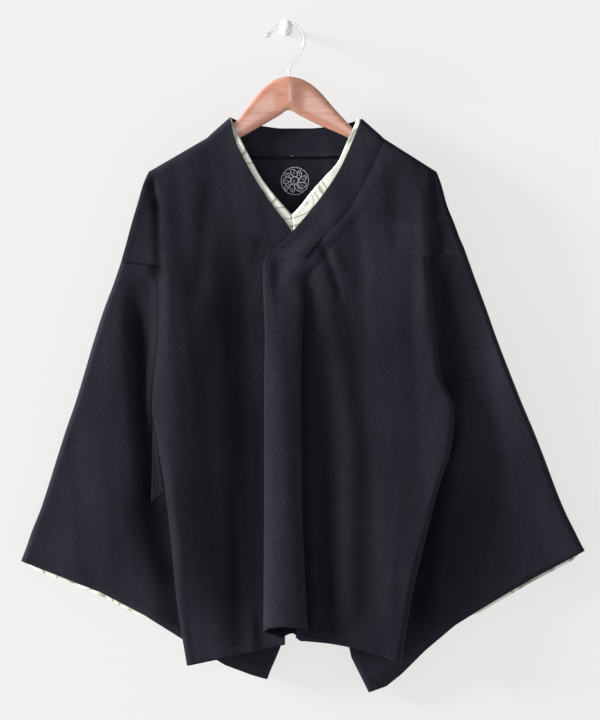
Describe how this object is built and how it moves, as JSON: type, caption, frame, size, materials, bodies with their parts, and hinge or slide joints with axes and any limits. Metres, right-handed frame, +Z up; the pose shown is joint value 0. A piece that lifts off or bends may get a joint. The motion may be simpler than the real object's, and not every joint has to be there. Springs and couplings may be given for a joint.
{
  "type": "kimono blouse on a hanger",
  "caption": "Dark kimono blouse with wide open sleeves, a crossed collar band with ivory trim and a centre box pleat, hanging flat from a wooden hanger hooked over a wall peg.",
  "frame": {"origin": "middle of the wall peg's flat back, on the wall plane y = 0", "axes": "+Z up, +X to the right of a viewer facing the blouse, +Y from the blouse into the wall"},
  "size_m": [0.7692, 0.0777, 0.9163],
  "materials": {
    "crepe": "matt near-black navy crepe",
    "ivory_lining": "smooth ivory cloth",
    "varnished_wood": "reddish brown varnish",
    "chrome_wire": "bright chrome",
    "white_paint": "semi-gloss white"
  },
  "bodies": {
    "root": {"front_left": "crepe", "front_right": "crepe", "back": "crepe", "sleeve_left_front": "crepe", "sleeve_left_back": "crepe", "sleeve_right_front": "crepe", "sleeve_right_back": "crepe", "sleeve_facing_left": "ivory_lining", "sleeve_facing_right": "ivory_lining", "collar_band_left": "crepe", "collar_band_right": "crepe", "collar_band_back": "crepe", "neck_trim_left": "ivory_lining", "neck_trim_right": "ivory_lining", "hanger_wood": "varnished_wood", "hanger_hook": "chrome_wire", "wall_peg": "white_paint"}
  },
  "joints": []
}
